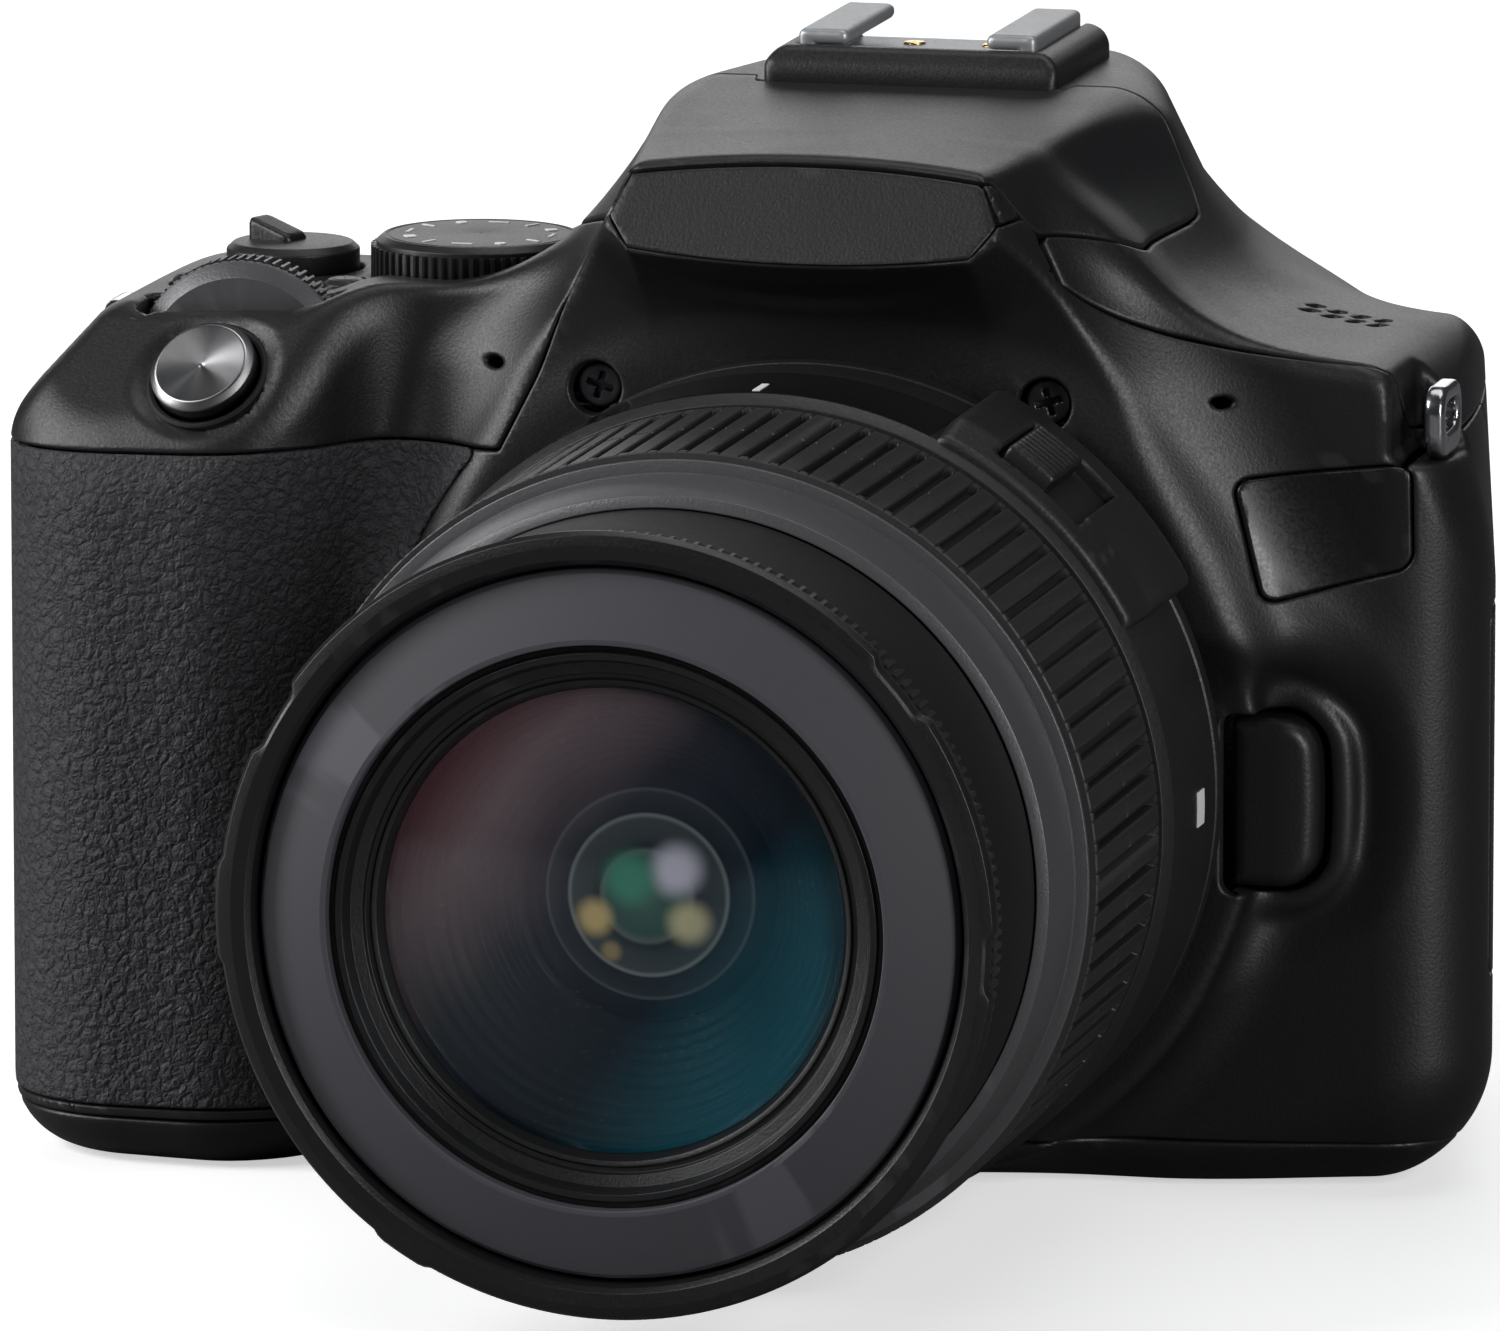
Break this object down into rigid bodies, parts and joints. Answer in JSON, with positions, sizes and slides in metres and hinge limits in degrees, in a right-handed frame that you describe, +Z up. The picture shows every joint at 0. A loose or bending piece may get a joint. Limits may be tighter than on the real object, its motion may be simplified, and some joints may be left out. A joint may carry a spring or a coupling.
{
  "type": "dslr camera",
  "caption": "Single-lens reflex camera with a moulded grip, a pop-up flash, a side-hinged screen and a zoom lens on a bayonet mount.",
  "frame": {"origin": "centre of the tripod socket on the base plane, below the lens axis", "axes": "+Z up, -Y along the lens axis towards the subject, +X towards the terminal side, -X towards the grip"},
  "size_m": [0.1228, 0.138, 0.0913],
  "materials": {
    "cover_plastic": "fine grained satin",
    "grip_rubber": "leather grain",
    "lens_plastic": "satin",
    "ring_rubber": "matte ribbed",
    "name_ring": "matte",
    "gloss_black": "gloss",
    "button_metal": "spun",
    "steel": "satin",
    "chrome": "polished",
    "shoe_metal": "satin grey",
    "dark_screw": "satin",
    "contacts": "polished",
    "glass": "coated",
    "mirror": "polished",
    "frosted": "frosted",
    "board": "matte",
    "sensor": "coated",
    "curtain": "matte",
    "battery_case": "matte",
    "copper": "machined"
  },
  "bodies": {
    "camera_body": {"front_cover": "cover_plastic", "rear_cover": "cover_plastic", "top_cover": "cover_plastic", "base_cover": "cover_plastic", "grip_rubber": "grip_rubber", "thumb_rubber": "grip_rubber", "name_panel": "cover_plastic", "badge_plate": "gloss_black", "chassis_frame": "steel", "mount_ring": "steel", "body_screws": "dark_screw", "lens_contacts": "contacts", "mirror_box": "lens_plastic", "focusing_screen": "frosted", "pentamirror": "curtain", "eyepiece_lens": "glass", "eyecup": "grip_rubber", "shutter_frame": "curtain", "image_sensor": "sensor", "main_board": "board", "battery": "battery_case", "tripod_socket": "steel", "strap_lugs": "chrome", "hot_shoe": "shoe_metal", "lens_mount": "lens_plastic", "lens_barrel": "lens_plastic", "rear_lens": "glass"},
    "shutter_key": {"shutter_button": "button_metal"},
    "main_dial": {"main_dial": "lens_plastic"},
    "mode_dial": {"mode_dial": "lens_plastic"},
    "power_switch": {"power_switch": "lens_plastic"},
    "iso_key": {"iso_button": "lens_plastic"},
    "display_key": {"display_button": "lens_plastic"},
    "flash": {"flash_head": "cover_plastic"},
    "release_key": {"lens_release": "cover_plastic"},
    "terminal_door_front": {"terminal_door_front": "cover_plastic"},
    "terminal_door_rear": {"terminal_door_rear": "cover_plastic"},
    "screen": {"screen_panel": "cover_plastic", "screen_hinge": "cover_plastic"},
    "dioptre_knob": {"dioptre_knob": "lens_plastic"},
    "menu_key": {"menu_button": "lens_plastic"},
    "info_key": {"info_button": "lens_plastic"},
    "live_view_key": {"live_view_button": "lens_plastic"},
    "play_key": {"play_button": "lens_plastic"},
    "erase_key": {"erase_button": "lens_plastic"},
    "set_key": {"set_button": "lens_plastic"},
    "cross_key": {"cross_keys": "lens_plastic"},
    "battery_door": {"battery_door": "cover_plastic"},
    "main_mirror": {"main_mirror": "mirror"},
    "sub_mirror": {"sub_mirror": "mirror"},
    "shutter_curtain": {"shutter_curtain": "curtain"},
    "zoom_ring": {"zoom_ring": "lens_plastic", "zoom_rubber": "ring_rubber"},
    "zoom_barrel": {"zoom_barrel": "lens_plastic", "aperture_unit": "lens_plastic"},
    "focus_sleeve": {"focus_sleeve": "copper"},
    "focus_group": {"focus_ring": "lens_plastic", "name_ring": "name_ring", "front_lens": "glass"},
    "af_switch": {"af_switch": "lens_plastic"}
  },
  "joints": [
    {"name": "shutter_press", "type": "slide", "parent": "camera_body", "child": "shutter_key", "axis": [0.1228, 0.7071, -0.6964], "range_m": [0, 0.0012]},
    {"name": "main_dial_turn", "type": "hinge", "parent": "camera_body", "child": "main_dial", "pos_m": [-0.051, -0.0176, 0.0646], "axis": [0, -1, 0], "continuous": true},
    {"name": "mode_dial_turn", "type": "hinge", "parent": "camera_body", "child": "mode_dial", "pos_m": [-0.0335, -0.006, 0.0706], "axis": [0, 0, 1], "continuous": true},
    {"name": "power_turn", "type": "hinge", "parent": "camera_body", "child": "power_switch", "pos_m": [-0.052, 0.0025, 0.0707], "axis": [0, 0, -1], "range_deg": [0, 56]},
    {"name": "iso_press", "type": "slide", "parent": "camera_body", "child": "iso_key", "axis": [0, 0, -1], "range_m": [0, 0.0005]},
    {"name": "display_press", "type": "slide", "parent": "camera_body", "child": "display_key", "axis": [0, 0, -1], "range_m": [0, 0.0005]},
    {"name": "flash_lift", "type": "hinge", "parent": "camera_body", "child": "flash", "pos_m": [0, 0.0022, 0.0849], "axis": [-1, 0, 0], "range_deg": [0, 62]},
    {"name": "lens_release_press", "type": "slide", "parent": "camera_body", "child": "release_key", "axis": [0, 1, 0], "range_m": [0, 0.0016]},
    {"name": "terminal_front_open", "type": "hinge", "parent": "camera_body", "child": "terminal_door_front", "pos_m": [0.0506, -0.01121, 0.033], "axis": [0, 0, -1], "range_deg": [0, 95]},
    {"name": "terminal_rear_open", "type": "hinge", "parent": "camera_body", "child": "terminal_door_rear", "pos_m": [0.04952, 0.00187, 0.033], "axis": [0, 0, -1], "range_deg": [0, 95]},
    {"name": "screen_open", "type": "hinge", "parent": "camera_body", "child": "screen", "pos_m": [0.0398, 0.0344, 0.0325], "axis": [0, 0, -1], "range_deg": [0, 170]},
    {"name": "dioptre_turn", "type": "hinge", "parent": "camera_body", "child": "dioptre_knob", "pos_m": [0.0188, 0.036, 0.0682], "axis": [0, -1, 0], "range_deg": [-120, 120]},
    {"name": "menu_press", "type": "slide", "parent": "camera_body", "child": "menu_key", "axis": [0, -1, 0], "range_m": [0, 0.0005]},
    {"name": "info_press", "type": "slide", "parent": "camera_body", "child": "info_key", "axis": [0, -1, 0], "range_m": [0, 0.0005]},
    {"name": "live_view_press", "type": "slide", "parent": "camera_body", "child": "live_view_key", "axis": [0, -1, 0], "range_m": [0, 0.0005]},
    {"name": "play_press", "type": "slide", "parent": "camera_body", "child": "play_key", "axis": [0, -1, 0], "range_m": [0, 0.0005]},
    {"name": "erase_press", "type": "slide", "parent": "camera_body", "child": "erase_key", "axis": [0, -1, 0], "range_m": [0, 0.0005]},
    {"name": "set_press", "type": "slide", "parent": "camera_body", "child": "set_key", "axis": [0, -1, 0], "range_m": [0, 0.0005]},
    {"name": "cross_press", "type": "slide", "parent": "camera_body", "child": "cross_key", "axis": [0, -1, 0], "range_m": [0, 0.0004]},
    {"name": "battery_door_open", "type": "hinge", "parent": "camera_body", "child": "battery_door", "pos_m": [-0.0466, -0.0035, 0.0012], "axis": [0, -1, 0], "range_deg": [0, 95]},
    {"name": "mirror_lift", "type": "hinge", "parent": "camera_body", "child": "main_mirror", "pos_m": [0, 0.0114, 0.05], "axis": [-1, 0, 0], "range_deg": [0, 44]},
    {"name": "sub_mirror_fold", "type": "hinge", "parent": "main_mirror", "child": "sub_mirror", "pos_m": [0, -0.0024, 0.0332], "axis": [1, 0, 0], "range_deg": [0, 84]},
    {"name": "curtain_run", "type": "slide", "parent": "camera_body", "child": "shutter_curtain", "axis": [0, 0, -1], "range_m": [0, 0.0175]},
    {"name": "zoom_turn", "type": "hinge", "parent": "camera_body", "child": "zoom_ring", "pos_m": [0, -0.06, 0.035], "axis": [0, -1, 0], "range_deg": [0, 70]},
    {"name": "zoom_extend", "type": "slide", "parent": "camera_body", "child": "zoom_barrel", "axis": [0, -1, 0], "range_m": [0, 0.0125]},
    {"name": "focus_extend", "type": "slide", "parent": "zoom_barrel", "child": "focus_sleeve", "axis": [0, -1, 0], "range_m": [0, 0.004]},
    {"name": "focus_turn", "type": "hinge", "parent": "focus_sleeve", "child": "focus_group", "pos_m": [0, -0.09, 0.035], "axis": [0, -1, 0], "range_deg": [0, 90]},
    {"name": "af_switch_slide", "type": "hinge", "parent": "camera_body", "child": "af_switch", "pos_m": [0, -0.037, 0.035], "axis": [0, 1, 0], "range_deg": [0, 6]}
  ],
  "couplings": [
    {"joint": "sub_mirror_fold", "follows": "mirror_lift", "ratio": 1.9},
    {"joint": "zoom_extend", "follows": "zoom_turn", "m_per_rad": 0.01},
    {"joint": "focus_extend", "follows": "focus_turn", "m_per_rad": 0.0025}
  ]
}
